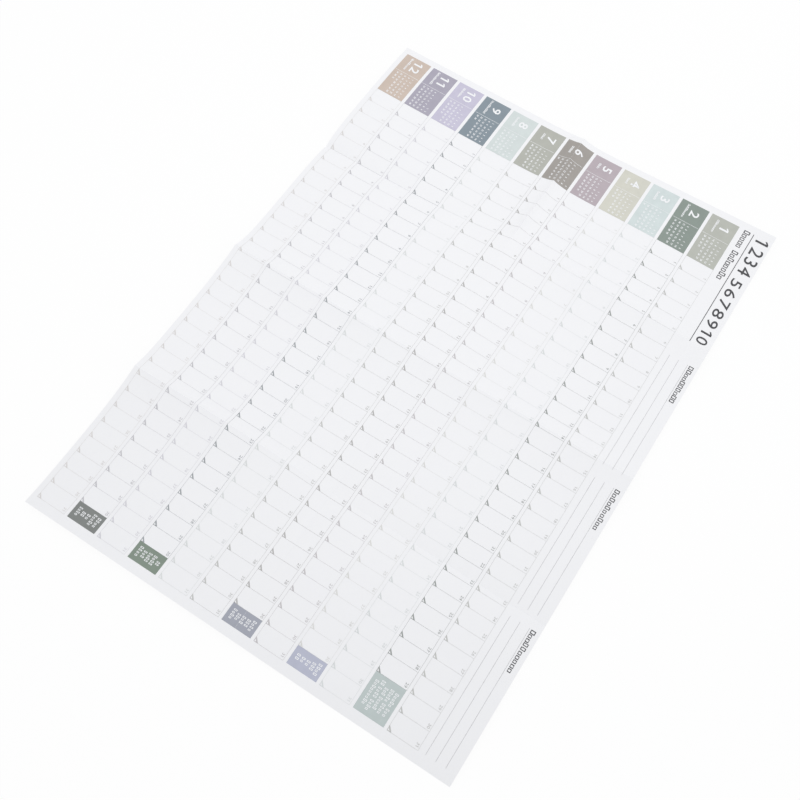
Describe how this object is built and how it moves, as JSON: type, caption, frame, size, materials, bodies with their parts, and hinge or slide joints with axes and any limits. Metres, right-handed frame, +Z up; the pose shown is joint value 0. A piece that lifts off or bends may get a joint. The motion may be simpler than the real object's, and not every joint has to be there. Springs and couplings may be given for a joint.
{
  "type": "wall calendar",
  "caption": "Large printed year-planner sheet, folded to an eighth and opened out again, lying print side up with its creases standing in ridges and furrows.",
  "frame": {"origin": "middle of the sheet, on the surface that it lies on", "axes": "+X along the months' rows, from the month names to the last day; +Y from the last month to the title; +Z up, out of the printed side"},
  "size_m": [0.74, 0.52, 0.0182],
  "materials": {
    "coated_paper": "matt coated paper, printed on one side"
  },
  "bodies": {
    "root": {"calendar_sheet": "coated_paper"}
  },
  "joints": []
}
